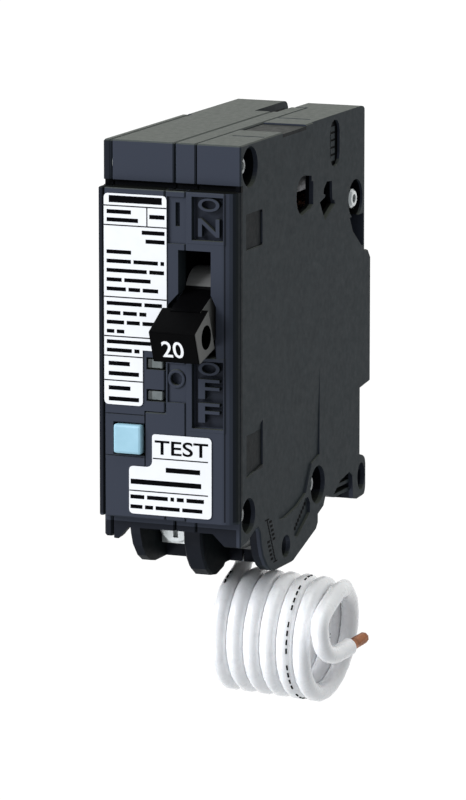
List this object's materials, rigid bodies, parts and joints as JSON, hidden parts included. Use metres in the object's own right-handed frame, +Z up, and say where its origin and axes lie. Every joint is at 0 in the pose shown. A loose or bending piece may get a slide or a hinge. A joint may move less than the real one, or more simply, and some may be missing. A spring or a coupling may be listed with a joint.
{
  "type": "gfci breaker",
  "caption": "One-pole plug-on circuit breaker with arc-fault and ground-fault electronics, toggle handle, test button, line jaw, terminal screws and a coiled neutral wire",
  "frame": {"origin": "centre of the flat seat on the back of the case", "axes": "+X to the right as the handle faces the user, +Y into the panel, +Z up towards the end away from the wire terminals"},
  "size_m": [0.0388, 0.0728, 0.0997],
  "materials": {
    "case_plastic": "fine matt moulded thermoset, charcoal",
    "handle_plastic": "satin moulded, near black",
    "label": "printed white film",
    "button": "satin moulded, light blue",
    "light_pipe": "clear to milky moulded light pipe",
    "zinc": "bright zinc plate",
    "steel": "plain stamped steel",
    "copper": "plain copper strip",
    "bare_copper": "bare stranded copper",
    "silver": "silver alloy",
    "board": "solder mask green",
    "chip": "moulded black",
    "ceramic": "dipped coating, blue",
    "coil": "enamelled copper winding",
    "white_insulation": "smooth white thermoplastic insulation"
  },
  "bodies": {
    "case": {"left_cover": "case_plastic", "electronics_case": "case_plastic", "mechanism_base": "case_plastic", "mechanism_cover": "case_plastic", "front_top_rivet": "zinc", "rear_top_rivet": "zinc", "front_bottom_rivet": "zinc", "rear_bottom_rivet": "zinc", "rating_label": "label", "test_label": "label", "button_spring": "steel", "arc_fault_window": "light_pipe", "ground_fault_window": "light_pipe", "fixed_contact": "silver", "line_terminal": "copper", "line_jaw": "copper", "arc_chute": "steel", "trip_lever_pin": "steel", "toggle_spring": "steel", "bimetal": "copper", "magnet_yoke": "steel", "calibration_screw": "steel", "contact_braid": "copper", "left_clamp_plate": "zinc", "neutral_strap": "copper", "right_clamp_plate": "zinc", "load_strap": "copper", "circuit_board": "board", "processor_chip": "chip", "varistor": "ceramic", "filter_capacitor": "chip", "current_transformer": "coil", "arc_fault_lamp": "light_pipe", "ground_fault_lamp": "light_pipe", "trip_solenoid": "coil", "plunger_spring": "steel", "pigtail_lead": "white_insulation", "pigtail_coil": "white_insulation", "pigtail_tail": "white_insulation", "pigtail_bare_tip": "bare_copper"},
    "handle": {"handle": "handle_plastic"},
    "contact_arm": {"contact_arm": "copper", "moving_contact": "silver"},
    "trip_lever": {"trip_lever": "steel"},
    "armature": {"armature": "steel"},
    "solenoid_plunger": {"solenoid_plunger": "steel"},
    "test_button": {"test_button": "button"},
    "test_contact": {"test_contact": "copper"},
    "left_terminal_screw": {"left_terminal_screw": "zinc"},
    "right_terminal_screw": {"right_terminal_screw": "zinc"}
  },
  "joints": [
    {"name": "handle_toggle", "type": "hinge", "parent": "case", "child": "handle", "pos_m": [0.0051, -0.0559, 0.0118], "axis": [-1, 0, 0], "range_deg": [0, 43]},
    {"name": "contact_arm_swing", "type": "hinge", "parent": "handle", "child": "contact_arm", "pos_m": [0.0051, -0.04939, 0.01437], "axis": [-1, 0, 0], "range_deg": [-23.4, 0], "deforming": ["toggle_spring", "contact_braid"]},
    {"name": "trip_lever_swing", "type": "hinge", "parent": "case", "child": "trip_lever", "pos_m": [0.0092, -0.0174, 0.009], "axis": [-1, 0, 0], "range_deg": [0, 25]},
    {"name": "solenoid_stroke", "type": "slide", "parent": "case", "child": "solenoid_plunger", "axis": [0, 1, 0], "range_m": [0, 0.001], "stiffness_N_per_m": 300, "springref_m": -0.002, "deforming": ["plunger_spring"]},
    {"name": "armature_swing", "type": "hinge", "parent": "case", "child": "armature", "pos_m": [0.0072, -0.0247, -0.0065], "axis": [1, 0, 0], "range_deg": [0, 6.8]},
    {"name": "test_button_press", "type": "slide", "parent": "case", "child": "test_button", "axis": [0, 1, 0], "range_m": [0, 0.001], "stiffness_N_per_m": 600, "springref_m": -0.002, "deforming": ["button_spring"]},
    {"name": "test_contact_bend", "type": "hinge", "parent": "case", "child": "test_contact", "pos_m": [-0.006, -0.0511, -0.00825], "axis": [1, 0, 0], "range_deg": [0, 14.2]},
    {"name": "left_screw_turn", "type": "hinge", "parent": "case", "child": "left_terminal_screw", "pos_m": [-0.0057, -0.0454, -0.0305], "axis": [0, -1, 0], "continuous": true},
    {"name": "right_screw_turn", "type": "hinge", "parent": "case", "child": "right_terminal_screw", "pos_m": [0.00615, -0.0454, -0.0305], "axis": [0, -1, 0], "continuous": true}
  ],
  "couplings": [
    {"joint": "contact_arm_swing", "follows": "handle_toggle", "ratio": -0.544},
    {"joint": "armature_swing", "follows": "solenoid_stroke", "rad_per_m": 117.6},
    {"joint": "test_contact_bend", "follows": "test_button_press", "rad_per_m": 247}
  ]
}
